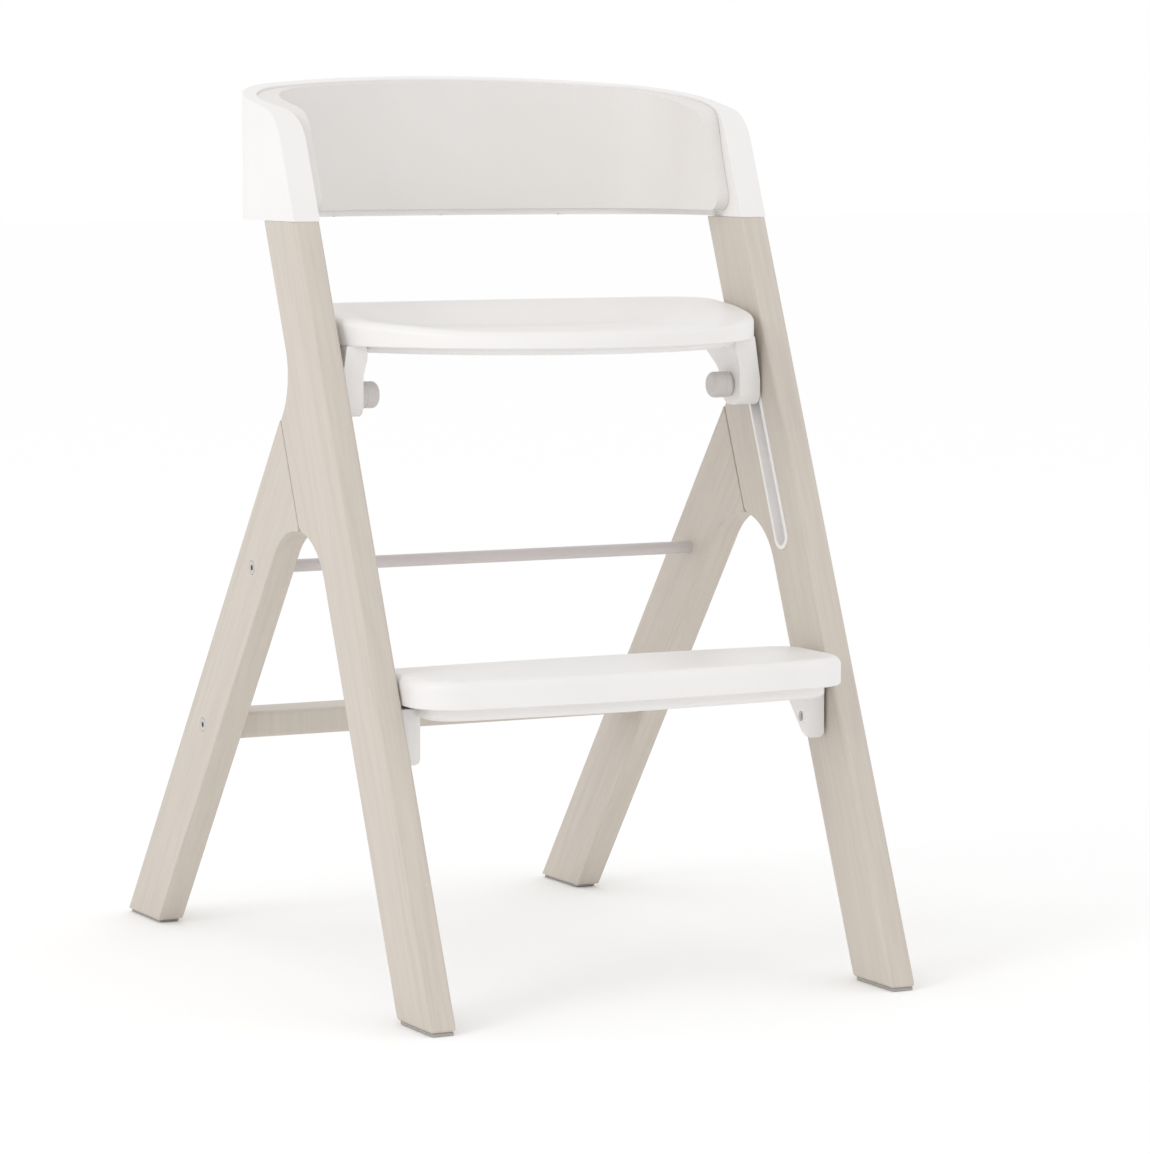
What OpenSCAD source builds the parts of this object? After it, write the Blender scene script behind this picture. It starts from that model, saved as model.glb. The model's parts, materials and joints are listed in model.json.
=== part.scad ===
// Folding, height-adjustable child's chair: A-shaped wooden sides, wrap-around backrest,
// a seat that slides in slots in the front legs, a footrest and a rear frame that folds.
// Millimetres, +Z up, +X to the right seen from the front, the front faces -Y.
// Origin: on the floor, in the middle of the footprint.

/* [Overall] */
// Width over the outer faces of the legs
frame_w = 488; // [460:1:520]
// Depth of the footprint, front edge to rear edge
frame_d = 720; // [712:1:728]
// Thickness of the leg boards
board_t = 26; // [25:1:28]
// Thickness of the rubber pads under the feet
pad_t = 3; // [2:0.5:4]

/* [Front legs] */
// Angle of the front legs from vertical
front_lean = 22.5; // [22:0.5:23]
// Width of a front leg board, front edge to rear edge
front_depth = 66; // [64:1:68]
// Distance of the fold seam behind the leg's front edge
seam_a = 102; // [100:1:104]
// Radius of the waist above the ear
waist_r = 60; // [50:5:70]

/* [Rear legs] */
// Angle of the rear legs from vertical
rear_lean = 37.5; // [37:0.5:38]
// Width of a rear leg board
rear_depth = 64; // [62:1:66]
// Radius of the arch between the legs
arch_r = 66; // [62:1:68]

/* [Backrest] */
// Height of the lower edge above the floor
back_low = 697; // [690:1:705]
// Height of the upper edge at y = 0
back_top = 801; // [796:1:806]
// Rise of the upper edge for each millimetre towards the rear
back_rise = 0.2; // [0.15:0.01:0.25]
// Place of the rearmost point
back_y = 150; // [146:1:156]
// Wall thickness at the middle of the back, outer shell and inner panel together
back_wall = 14; // [12:1:18]

/* [Seat] */
// Height of the joint line between the top shell and the under cover
seat_z = 585.5; // [584:0.5:588]
// Width of the seat and of the footrest
plate_w = 433; // [430:1:434]
// Foremost point of the seat
seat_front = -250; // [-256:1:-244]
// Rearmost point of the seat
seat_rear = 30; // [20:1:40]

/* [Footrest] */
// Height of the joint line between the top shell and the under cover
step_z = 274; // [270:1:278]
// Foremost point of the footrest
step_front = -305; // [-308:1:-300]
// Rearmost point of the footrest
step_rear = -169; // [-172:1:-166]

/* [Seat adjuster] */
// Distance of the slot's centre line behind the leg's front edge
slot_a = 41; // [40:0.5:42]
// Place of the lock pin along the leg, at the top setting
pin_b = 601.5; // [600:0.5:603]
// Distance between two height settings, along the leg
step_pitch = 49; // [45:1:49]
// Diameter of the lock pin
pin_d = 6; // [5:0.5:6]
// Diameter of the pull knob
knob_d = 24.5; // [22:0.5:26]

/* [Rear bars] */
// Diameter of the rear rod
rod_d = 12; // [10:1:12]
// Height of the rear rod above the floor
rod_z = 374; // [370:1:378]
// Height of the crossbar's middle above the floor
bar_z = 212; // [208:1:216]
// Depth of the crossbar, front to rear
bar_depth = 50; // [44:1:52]
// Height of the crossbar's section
bar_h = 25; // [22:1:28]

/* [Hidden] */
$fn = 64;

wood = [0.80, 0.77, 0.73];
plastic = [0.93, 0.92, 0.91];
knob_tone = [0.82, 0.80, 0.79];
steel = [0.62, 0.62, 0.63];
dark_rubber = [0.55, 0.55, 0.54];

leg_out = frame_w / 2;
leg_in = leg_out - board_t;
half_d = frame_d / 2;
fit = 0.2;                       // clearance of pieces let into one another
body_gap = 0.3;                  // gap between faces of bodies that move apart
eps = 0.01;
crossing = 0.005;                // makes an arc cross its tangent line cleanly

// ---- Directions and points in the side view, as [y, z] ----
front_up = [sin(front_lean), cos(front_lean)];
rear_up = [-sin(rear_lean), cos(rear_lean)];
function front_pt(a, b) = [-half_d, 0] + a * [cos(front_lean), -sin(front_lean)] + b * front_up;
function rear_pt(a, b) = [half_d, 0] - a * [cos(rear_lean), sin(rear_lean)] + b * rear_up;
function turn(u, v) = u.x * v.y - u.y * v.x;
function meet(p, u, q, v) = p + u * turn(q - p, v) / turn(u, v);
function unit(v) = v / norm(v);

arch_corner = meet(front_pt(front_depth, 0), front_up, rear_pt(rear_depth, 0), rear_up);
arch_half = (front_lean + rear_lean) / 2;
arch_mid = arch_corner - unit(front_up + rear_up) * arch_r / sin(arch_half);
waist_corner = meet(front_pt(front_depth, 0), front_up, rear_pt(0, 0), rear_up);

// Along the front leg: where the seam leaves the arch, and the hinge axis just above it
arch_mid_a = front_depth + arch_r;
arch_mid_b = (arch_corner - [-half_d, 0]) * front_up - arch_r / tan(arch_half);
seam_foot_b = arch_mid_b + sqrt(pow(arch_r, 2) - pow(arch_mid_a - seam_a, 2));
pivot_b = seam_foot_b + 3.3;
pivot = front_pt(seam_a, pivot_b);
fold_max = 64;

// ---- General shapes ----
// Draws a side-view outline, in [y, z], as a board from x0 to x1
module across(x0, x1) {
    rotate([90, 0, 90])
        translate([0, 0, x0])
            linear_extrude(x1 - x0)
                children();
}

// Frame of the front leg: local Y is across the board from its front edge, Z is up along it
module on_front_leg() {
    translate([0, -half_d, 0])
        rotate([-front_lean, 0, 0])
            children();
}

// The same frame in the side view
module in_front_leg_view() {
    translate([-half_d, 0])
        rotate(-front_lean)
            children();
}

module mirrored() {
    mirror([1, 0, 0])
        children();
}

module both_sides() {
    children();
    mirrored()
        children();
}

module rod_x(d, x0, x1, p) {
    translate([x0, p.x, p.y])
        rotate([0, 90, 0])
            cylinder(d = d, h = x1 - x0);
}

module disc_z(d, z0, z1, p) {
    translate([p.x, p.y, z0])
        cylinder(d = d, h = z1 - z0);
}

// Countersunk screw along -Z with its head's face at z = 0; grow widens it to cut its hole
module screw(d, length, head_d, head_h, grow = 0) {
    translate([0, 0, -head_h])
        cylinder(d1 = d + 2 * grow, d2 = head_d + 2 * grow, h = head_h + eps * grow);
    translate([0, 0, -length - grow])
        cylinder(d = d + 2 * grow, h = length + grow);
}

// Cuts the drive recess of a screw whose head's face is at z = 0
module drive(d) {
    translate([0, 0, -d * 0.6])
        cylinder(d = d, h = d, $fn = 6);
}

// Turns a +Z shape so that it points along +X or -X at a point
module point_x(x, p, sign = 1) {
    translate([x, p.x, p.y])
        rotate([0, 90 * sign, 0])
            children();
}

// Slot outline with round ends, in the front leg's frame
module slot_shape(width, b0, b1) {
    translate([slot_a, b0 + width / 2])
        circle(d = width);
    translate([slot_a, b1 - width / 2])
        circle(d = width);
    translate([slot_a - width / 2, b0 + width / 2])
        square([width, b1 - b0 - width]);
}

// Outline with straight sides at +-hw from the base up, corners of radius rc, and a wide
// arc of radius tip_r through [0, tip]
module crown(hw, rc, tip, tip_r, base, over = 0) {
    low = tip - tip_r;
    cy = low + sqrt(pow(tip_r - rc, 2) - pow(hw - rc, 2));
    phi = atan2(cy - low, hw - rc);
    start = max(low, base);
    half_start = (start - low) / tan(phi);
    reach = 1.5 * tip_r;
    intersection() {
        translate([0, low])
            circle(tip_r, $fn = 720);
        polygon([
            [half_start, start], [reach * cos(phi), low + reach * sin(phi)],
            [reach * cos(phi), low + 2 * tip_r], [-reach * cos(phi), low + 2 * tip_r],
            [-reach * cos(phi), low + reach * sin(phi)], [-half_start, start]
        ]);
    }
    for (s = [-1, 1])
        translate([s * (hw - rc), cy])
            circle(rc + over);
    translate([-hw, base])
        square([2 * hw, cy - base]);
}

// ---- Leg boards ----
// Region between a corner and the arc that rounds it, with 1 mm of overlap beyond its edges
module fillet(corner, d1, d2, r) {
    half = acos(d1 * d2) / 2;
    mid = corner + unit(d1 + d2) * r / sin(half);
    end1 = corner + d1 * r / tan(half);
    end2 = corner + d2 * r / tan(half);
    difference() {
        polygon([
            mid, end1, end1 + unit(end1 - mid), corner + unit(corner - mid) / sin(half),
            end2 + unit(end2 - mid), end2
        ]);
        translate(mid)
            circle(r + crossing, $fn = 128);
    }
}

module front_strip() {
    in_front_leg_view()
        translate([0, -60])
            square([front_depth, 1100]);
}

module rear_strip() {
    translate([half_d, 0])
        rotate(rear_lean)
            translate([-rear_depth, -80])
                square([rear_depth, 800]);
}

module above_floor() {
    translate([-half_d - 100, pad_t])
        square([frame_d + 200, 1000]);
}

module seam_side(a0, a1) {
    in_front_leg_view()
        translate([a0, -200])
            square([a1 - a0, 1400]);
}

// V-shaped relief below the hinge axis, so that the lips of the seam clear each other
module fold_relief() {
    half = fold_max / 2 + 3;
    in_front_leg_view()
        translate([seam_a, pivot_b])
            polygon([[0, 0.6], [-12 * tan(half), -12], [12 * tan(half), -12]]);
}

// A fillet's tangent points with its centre between them
function fillet_points(corner, d1, d2, r) =
    let (half = acos(d1 * d2) / 2)
    [
        corner + d1 * r / tan(half),
        corner + unit(d1 + d2) * r / sin(half),
        corner + d2 * r / tan(half)
    ];

waist = fillet_points(waist_corner, front_up, -rear_up, waist_r);
arch = fillet_points(arch_corner, -front_up, -rear_up, arch_r);

// Cuts the waist, the arch, the floor line and the hinge relief from a leg's outline
module shaped_leg() {
    difference() {
        intersection() {
            children(0);
            children(1);
            above_floor();
        }
        translate(waist[1])
            circle(waist_r + crossing, $fn = 128);
        translate(arch[1])
            circle(arch_r + crossing, $fn = 128);
        fold_relief();
    }
}

module front_leg_outline() {
    shaped_leg() {
        polygon([
            front_pt(0, -60), front_pt(0, 1000), front_pt(front_depth, 1000),
            waist[0], waist[1], waist[2], arch[2], arch[1], arch[0], front_pt(front_depth, -60)
        ]);
        seam_side(-10, seam_a - body_gap / 2);
    }
}

module rear_leg_outline() {
    shaped_leg() {
        polygon([
            rear_pt(0, -60), waist[2], waist[1], waist[0],
            arch[0], arch[1], arch[2], rear_pt(rear_depth, -60)
        ]);
        seam_side(seam_a + body_gap / 2, 900);
    }
}

// ---- Fold hinge: two leaves let into the faces of the seam ----
leaf_w = 18;
leaf_len = 46;
leaf_t = 2.4;
knuckle_d = 6;
hinge_pin_d = 3;
board_mid = (leg_in + leg_out) / 2;
hinge_screw_b = [pivot_b + 16, pivot_b + 36];

// One leaf's plate; side is -1 for the front leaf and 1 for the rear leaf
module leaf_plate(side, grow = 0) {
    translate([board_mid - leaf_w / 2 - grow, 0, pivot_b - grow])
        translate([0, side > 0 ? seam_a + body_gap / 2 : seam_a - body_gap / 2 - leaf_t - grow, 0])
            cube([leaf_w + 2 * grow, leaf_t + grow, leaf_len + 2 * grow]);
}

module knuckle(x0, x1, grow = 0) {
    rod_x(knuckle_d + 2 * grow, x0, x1, [seam_a, pivot_b]);
}

module hinge_mortise(side) {
    leaf_plate(side, fit);
    knuckle(board_mid - leaf_w / 2 - fit, board_mid + leaf_w / 2 + fit, 0.4);
}

module hinge_leaf_screws(side, grow = 0) {
    for (b = hinge_screw_b)
        translate([board_mid, seam_a + side * body_gap / 2, b])
            rotate([side > 0 ? 90 : -90, 0, 0])
                screw(3.5, 20, 6.6, 2, grow);
}

module front_hinge_leaf() {
    color(steel)
        on_front_leg()
            difference() {
                union() {
                    difference() {
                        leaf_plate(-1);
                        knuckle(board_mid - leaf_w, board_mid - 3, body_gap);
                        knuckle(board_mid + 3, board_mid + leaf_w, body_gap);
                    }
                    knuckle(board_mid - 3, board_mid + 3);
                }
                rod_x(hinge_pin_d + 0.02, board_mid - 20, board_mid + 20, [seam_a, pivot_b]);
                hinge_leaf_screws(-1, 0.1);
            }
}

module rear_hinge_leaf() {
    color(steel)
        on_front_leg()
            difference() {
                union() {
                    difference() {
                        leaf_plate(1);
                        knuckle(board_mid - 3 - body_gap, board_mid + 3 + body_gap, body_gap);
                    }
                    knuckle(board_mid - leaf_w / 2, board_mid - 3 - body_gap);
                    knuckle(board_mid + 3 + body_gap, board_mid + leaf_w / 2);
                }
                rod_x(hinge_pin_d + 0.1, board_mid - 20, board_mid + 20, [seam_a, pivot_b]);
                hinge_leaf_screws(1, 0.1);
            }
}

module hinge_pins() {
    color(steel)
        both_sides()
            on_front_leg()
                rod_x(hinge_pin_d, board_mid - leaf_w / 2, board_mid + leaf_w / 2, [seam_a, pivot_b]);
}

module front_hinge_screws() {
    color(steel)
        both_sides()
            on_front_leg()
                hinge_leaf_screws(-1);
}

module rear_hinge_screws() {
    color(steel)
        both_sides()
            on_front_leg()
                hinge_leaf_screws(1);
}

// ---- Slot liners: channels that guide the seat ----
liner_w = 25;
liner_depth = 10.5;
liner_lip = 0.8;
channel_w = 17;
channel_depth = 9;
settings = 4;
liner_low = pin_b - (settings - 1) * step_pitch - 18;
liner_high = pin_b + 39.5;
lip_x = leg_in - liner_lip;
liner_screw_b = [liner_low + 8.5, liner_high - 8.5];

module in_slot(x0, x1) {
    on_front_leg()
        across(x0, x1)
            children();
}

module liner_screw_set(grow = 0) {
    for (b = liner_screw_b)
        on_front_leg()
            point_x(leg_in + channel_depth - liner_lip, [slot_a, b], -1)
                screw(3, 12, 5.6, 1.4, grow);
}

module slot_liner() {
    color(plastic)
        difference() {
            in_slot(lip_x, leg_in + liner_depth)
                slot_shape(liner_w, liner_low, liner_high);
            in_slot(lip_x - 1, lip_x + channel_depth)
                slot_shape(channel_w, liner_low + 4, liner_high - 4);
            for (i = [0:settings - 1])
                on_front_leg()
                    rod_x(pin_d + 1, leg_in, leg_in + 20, [slot_a, pin_b - i * step_pitch]);
            liner_screw_set(0.1);
        }
}

module liner_screws() {
    color(steel)
        both_sides()
            liner_screw_set();
}

// ---- Backrest ----
skin = 3;
tenon_edge = 4;
tenon_top = 778;
wing_corner_r = 45;
back_r = 500;
wing_rc = 90;
panel_t = 5;
panel_step = 14;
panel_low = back_low + 6;
panel_gap = 2.5;

module back_plan(hw, rc, inset, start = -120) {
    crown(hw, rc, back_y - inset, back_r - inset, start);
}

module back_ring(outer_inset, inner_hw, inner_rc, inner_inset) {
    difference() {
        back_plan(leg_out - outer_inset, wing_rc - outer_inset, outer_inset);
        back_plan(inner_hw, inner_rc, inner_inset, -130);
    }
}

function top_z(y) = back_top + back_rise * y;

// Side view of the backrest: the front edge follows the leg, then rounds into the top edge
module back_side_view(inset = 0) {
    top_dir = unit([1, back_rise]);
    corner = meet(front_pt(inset, 0), front_up, [0, back_top - inset], top_dir);
    r = wing_corner_r - inset;
    low = back_low + inset;
    front_low = meet(front_pt(inset, 0), front_up, [0, low], [1, 0]);
    difference() {
        polygon([front_low, [back_y + 10, low], [back_y + 10, top_z(back_y + 10) - inset], corner]);
        fillet(corner, -front_up, top_dir, r);
    }
}

module tenon(grow = 0) {
    intersection() {
        on_front_leg()
            translate([leg_in + skin - grow, tenon_edge - grow, 700])
                cube([board_t - 2 * skin + 2 * grow, front_depth - 2 * tenon_edge + 2 * grow, 200]);
        translate([0, -200, back_low - 10])
            cube([leg_out + 10, 400, tenon_top + grow - back_low + 10]);
    }
}

backrest_screw_at = [[-44, 718], [-16, 752]];

module backrest_screw_set(grow = 0) {
    for (p = backrest_screw_at)
        point_x(leg_in + 0.6, p, -1)
            screw(4, 20, 8, 2.4, grow);
}

panel_screw_x = [-120, 0, 120];

function back_inner_y(x, inset) =
    back_y - back_r + sqrt(pow(back_r - inset, 2) - pow(x, 2));

module panel_screw_set(grow = 0) {
    for (x = panel_screw_x)
        translate([x, back_inner_y(x, back_wall) + 2.5, back_low])
            rotate([180, 0, 0])
                screw(3, 9, 5.5, 1.4, grow);
}

module backrest_shell() {
    color(plastic)
        difference() {
            intersection() {
                translate([0, 0, back_low - 20])
                    linear_extrude(200)
                        back_ring(0, leg_in, wing_rc - 14, back_wall);
                across(-leg_out - 1, leg_out + 1)
                    back_side_view();
            }
            intersection() {
                translate([0, 0, back_low - 20])
                    linear_extrude(200)
                        intersection() {
                            back_ring(4, leg_in - 6, wing_rc - 20, back_wall + 2);
                            translate([-leg_out, 34])
                                square([frame_w, 200]);
                        }
                across(-leg_out, leg_out)
                    back_side_view(panel_gap - fit);
            }
            both_sides() {
                tenon(fit);
                backrest_screw_set(0.1);
            }
            panel_screw_set(0.1);
        }
}

// Side view of the inner panel: set back from the wing's front edge, with round corners
module panel_side_view() {
    set_back = 15;
    corner_r = 32;
    foot_r = 13;
    top_front = back_top - panel_gap;
    top_rear = top_z(back_y) - panel_gap;
    top_dir = unit([back_y, top_rear - top_front]);
    corner = meet(front_pt(set_back, 0), front_up, [0, top_front], top_dir);
    foot = meet(front_pt(set_back, 0), front_up, [0, panel_low], [1, 0]);
    difference() {
        polygon([foot, [back_y, panel_low], [back_y, top_rear], corner]);
        fillet(corner, -front_up, top_dir, corner_r);
        fillet(foot, front_up, [1, 0], foot_r);
    }
}

module backrest_inner_panel() {
    color(plastic)
        difference() {
            intersection() {
                translate([0, 0, back_low - 20])
                    linear_extrude(200)
                        difference() {
                            back_plan(leg_in - fit, wing_rc - 14 - fit, back_wall - panel_t + fit);
                            back_plan(leg_in - panel_step, wing_rc - 20, back_wall, -130);
                        }
                across(-leg_out, leg_out)
                    panel_side_view();
            }
            panel_screw_set(0.1);
        }
}

module backrest_screws() {
    color(steel)
        both_sides()
            backrest_screw_set();
}

module panel_screws() {
    color(steel)
        panel_screw_set();
}

// ---- Front leg boards ----
module liner_pocket() {
    in_slot(leg_in - 1, leg_in + liner_depth + fit)
        slot_shape(liner_w + 2 * fit, liner_low - fit, liner_high + fit);
}

module front_leg() {
    color(wood)
        difference() {
            union() {
                intersection() {
                    across(leg_in, leg_out)
                        front_leg_outline();
                    translate([leg_in - 1, -half_d - 1, 0])
                        cube([board_t + 2, frame_d, back_low - fit]);
                }
                tenon();
            }
            liner_pocket();
            liner_screw_set(0.1);
            on_front_leg() {
                hinge_mortise(-1);
                hinge_leaf_screws(-1, 0.1);
            }
            backrest_screw_set(0.1);
            footrest_peg(fit);
            footrest_leg_screw(0.1);
        }
}

module front_foot_pad() {
    color(dark_rubber)
        across(leg_in, leg_out)
            intersection() {
                front_strip();
                translate([-half_d - 10, 0])
                    square([frame_d, pad_t]);
            }
}

// ---- Plates: the seat and the footrest share one construction ----
// Plan outline, inset from the rim: a crown to the rear and one to the front
module plate_plan(rear, rear_rc, rear_r, front, front_rc, front_r, inset, over = 0) {
    hw = plate_w / 2 - inset;
    mid = rear - rear_rc - 12;
    crown(hw, rear_rc - inset, rear - inset, rear_r - inset, mid, over);
    intersection() {
        rotate(180)
            crown(hw, front_rc - inset, -front - inset, front_r - inset, -mid - 1, over);
        translate([-hw, mid + 1 - 1000])
            square([2 * hw, 1000]);
    }
}

// Solid of revolution under the front rim, rounded at its top and bottom edges
module rim_sweep(front, front_r, z0, z1, r0, r1) {
    translate([0, front + front_r, 0])
        rotate([0, 0, 180])
            rotate_extrude(angle = 180, $fn = 180)
                difference() {
                    translate([0, z0])
                        square([front_r, z1 - z0]);
                    corner_cut([front_r, z1], r1, -1, -1);
                    corner_cut([front_r, z0], r0, -1, 1);
                }
}

// Removes a square corner outside a quarter circle; sx and sy point into the body
module corner_cut(p, r, sx, sy) {
    difference() {
        translate([p.x + (sx < 0 ? -r : -1), p.y + (sy < 0 ? -r : -1)])
            square([r + 1, r + 1]);
        translate([p.x + sx * r, p.y + sy * r])
            circle(r);
    }
}

// Front view of a plate's ends
module end_view(z0, z1, r0, r1) {
    hw = plate_w / 2;
    difference() {
        translate([-hw, z0])
            square([2 * hw, z1 - z0]);
        corner_cut([hw, z1], r1, -1, -1);
        corner_cut([-hw, z1], r1, 1, -1);
        corner_cut([hw, z0], r0, -1, 1);
        corner_cut([-hw, z0], r0, 1, 1);
    }
}

module along_y() {
    rotate([90, 0, 0])
        translate([0, 0, -500])
            linear_extrude(1000)
                children();
}

// ---- Footrest ----
step_top = step_z + 26;
step_low = step_z - 12;
step_front_r = 1875;
step_bracket_x = leg_in - 3;
step_peg_at = [-222, 254];
step_screw_at = [-226, 239];
step_fix_y = [-262, -200];
step_cover_at = [[-110, -262], [110, -262], [-110, -192], [110, -192]];

module step_plan(inset) {
    plate_plan(step_rear, 32, 4000, step_front, 42, step_front_r, inset);
}

module footrest_top_shell() {
    color(plastic)
        difference() {
            intersection() {
                translate([0, 0, step_z])
                    linear_extrude(step_top - step_z)
                        step_plan(0);
                rim_sweep(step_front, step_front_r, step_z, step_top, 1, 9);
                along_y()
                    end_view(step_z, step_top, 1, 9);
                across(-plate_w, plate_w)
                    difference() {
                        translate([step_front - 1, step_z])
                            square([step_rear - step_front + 1, step_top - step_z]);
                        corner_cut([step_rear, step_top], 8, -1, -1);
                    }
            }
            difference() {
                translate([0, 0, step_z - 1])
                    linear_extrude(step_top - step_z - 4)
                        step_plan(18);
                step_bosses(step_z, step_top - 1);
            }
            step_fix_screws(0.1);
            step_cover_screws(0.1);
        }
}

module step_bosses(z0, z1) {
    for (p = step_cover_at)
        disc_z(9, z0, z1, p);
    for (x = [-110, 110])
        translate([x - 1.5, step_front, z0])
            cube([3, step_rear - step_front, z1 - z0]);
    both_sides()
        translate([leg_in - 36, step_front, z0])
            cube([60, step_rear - step_front, z1 - z0]);
}

module footrest_under_cover() {
    color(plastic)
        difference() {
            translate([0, 0, step_low])
                linear_extrude(step_z - step_low)
                    step_plan(15);
            difference() {
                translate([0, 0, step_low + 3])
                    linear_extrude(step_z - step_low)
                        step_plan(18.5);
                for (p = step_cover_at)
                    disc_z(9, step_low, step_z, p);
                both_sides()
                    translate([leg_in - 36, step_front, step_low])
                        cube([60, step_rear - step_front, step_z - step_low]);
            }
            both_sides()
                footrest_bracket_shape(fit);
            step_fix_screws(0.1);
            step_cover_screws(0.1);
        }
}

module step_cover_screws(grow = 0) {
    for (p = step_cover_at)
        translate([p.x, p.y, step_low])
            rotate([180, 0, 0])
                screw(3, 26, 5.8, 1.5, grow);
}

module step_fix_screws(grow = 0) {
    both_sides()
        for (y = step_fix_y)
            translate([leg_in - 29, y, step_low + 3.2])
                rotate([180, 0, 0])
                    screw(3.5, 24, 7, 2, grow);
}

// Side view of the footrest's bracket
module footrest_bracket_view() {
    difference() {
        polygon([
            [-276, step_z], [-276, 262], [-238, 262], [-238, 219.5], [-233, 219.5],
            [-204, 251], [-197, 257], [-190, 262], [-186, step_z]
        ]);
        fillet([-238, 219.5], [0, 1], [1, 0], 3);
    }
}

module footrest_bracket_shape(grow = 0) {
    intersection() {
        across(leg_in - 40, step_bracket_x + grow)
            footrest_bracket_view();
        along_y()
            polygon([
                [197, 210], [leg_in + 10, 210], [leg_in + 10, step_z], [leg_in - 36 - grow, step_z],
                [leg_in - 36 - grow, step_low + 3 - grow], [197, step_low - 6]
            ]);
        union() {
            translate([0, -238.5, 200])
                cube([300, 100, 100]);
            translate([0, 0, step_low])
                linear_extrude(20)
                    step_plan(19 - grow);
        }
    }
}

module footrest_peg(grow = 0) {
    rod_x(8 + 2 * grow, step_bracket_x - eps, leg_in + 9 + grow, step_peg_at);
}

module footrest_leg_screw(grow = 0) {
    point_x(197 + 3, step_screw_at, -1)
        screw(5, 38, 9, 2.6, grow);
}

module footrest_bracket() {
    color(plastic)
        difference() {
            union() {
                footrest_bracket_shape();
                footrest_peg();
                rod_x(12.5, step_bracket_x - 1, leg_in, step_screw_at);
            }
            footrest_leg_screw(0.1);
            rod_x(9.2, 190, 200, step_screw_at);
            step_fix_screws(0.1);
        }
}

module footrest_leg_screws() {
    color(steel)
        both_sides()
            difference() {
                footrest_leg_screw();
                point_x(200, step_screw_at, -1)
                    drive(4.6);
            }
}

module footrest_bracket_screws() {
    color(steel)
        step_fix_screws();
}

module footrest_cover_screws() {
    color(steel)
        step_cover_screws();
}

// ---- Rear frame ----
rod_at = rear_pt(rear_depth / 2, 0) + rear_up * (rod_z - rear_pt(rear_depth / 2, 0).y) / rear_up.y
    + [0, 0];
bar_at = rear_pt(rear_depth / 2, 0) + rear_up * (bar_z - rear_pt(rear_depth / 2, 0).y) / rear_up.y;
bolt_d = 6;
bolt_head_d = 12.5;
bolt_head_h = 4.5;
barrel_d = 10;
barrel_in = 36;
dowel_offset = 16;

// Bolt driven inwards from the leg's outer face
module bolt(p, length, grow = 0) {
    rod_x(bolt_head_d + 2 * grow, leg_out - bolt_head_h - grow, leg_out + grow * 10, p);
    rod_x(bolt_d + 2 * grow, leg_out - length, leg_out - bolt_head_h, p);
}

module bolt_with_socket(p, length) {
    difference() {
        bolt(p, length);
        point_x(leg_out - 3, p)
            cylinder(d = 5.8, h = 5, $fn = 6);
    }
}

module rear_leg() {
    color(wood)
        difference() {
            across(leg_in, leg_out)
                rear_leg_outline();
            on_front_leg() {
                hinge_mortise(1);
                hinge_leaf_screws(1, 0.1);
            }
            bolt(rod_at, 60, 0.1);
            bolt(bar_at, 80, 0.1);
            dowel(0.05);
        }
}

module rear_rod() {
    color(knob_tone)
        difference() {
            rod_x(rod_d, -leg_in, leg_in, rod_at);
            rod_x(rod_d - 2.4, -leg_in - 1, leg_in + 1, rod_at);
        }
}

module rod_inserts() {
    color(steel)
        both_sides()
            difference() {
                rod_x(rod_d - 2.4, leg_in - 32, leg_in - 0.5, rod_at);
                rod_x(bolt_d, leg_in - 33, leg_in + 1, rod_at);
            }
}

module rod_bolts() {
    color(steel)
        both_sides()
            bolt_with_socket(rod_at, board_t + 24);
}

module rear_crossbar() {
    color(wood)
        difference() {
            across(-leg_in, leg_in)
                difference() {
                    translate([bar_at.x - bar_depth / 2, bar_z - bar_h / 2])
                        square([bar_depth, bar_h]);
                    for (sx = [-1, 1])
                        for (sz = [-1, 1])
                            corner_cut(
                                [bar_at.x + sx * bar_depth / 2, bar_z + sz * bar_h / 2],
                                4, -sx, -sz
                            );
                }
            both_sides() {
                rod_x(bolt_d + 1, leg_in - 50, leg_in + 1, bar_at);
                disc_z(barrel_d + 0.2, bar_z - bar_h, bar_z + 9, [leg_in - barrel_in, bar_at.x]);
                dowel(0.05);
            }
        }
}

module crossbar_barrel_nuts() {
    color(steel)
        both_sides()
            difference() {
                disc_z(barrel_d, bar_z - 9, bar_z + 8.8, [leg_in - barrel_in, bar_at.x]);
                rod_x(bolt_d, leg_in - 50, leg_in, bar_at);
            }
}

module crossbar_bolts() {
    color(steel)
        both_sides()
            bolt_with_socket(bar_at, board_t + 44);
}

module dowel(grow = 0) {
    rod_x(8 + 2 * grow, leg_in - 20 - grow, leg_in + 12 + grow, bar_at - [dowel_offset, 0]);
}

module crossbar_dowels() {
    color(wood)
        both_sides()
            dowel();
}

module rear_foot_pad() {
    color(dark_rubber)
        across(leg_in, leg_out)
            intersection() {
                rear_strip();
                translate([-half_d, 0])
                    square([frame_d + 10, pad_t]);
            }
}

// ---- Seat ----
seat_top = 620;
seat_low = seat_z - 6.5;
seat_front_r = 225;
seat_bracket_in = 194;
seat_bracket_out = leg_in - 2;
seat_fix_x = 201;
seat_fix_y = [-66, -55.5];
seat_cover_at = [[-110, -160], [110, -160], [-120, -6], [120, -6]];

module seat_plan(inset) {
    plate_plan(seat_rear, 50, 2000, seat_front, 120, seat_front_r, inset, crossing);
}

// Side view of the seat's rim: low at the front, raised beside and behind the child
rim_line = [
    [-300, 600.5], [-200, 601], [-174, 604], [-131, 607.5], [-98, 609.5], [-77, 612.5],
    [-56, 616], [-30, 618.5], [0, 619.5], [60, seat_top]
];

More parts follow.
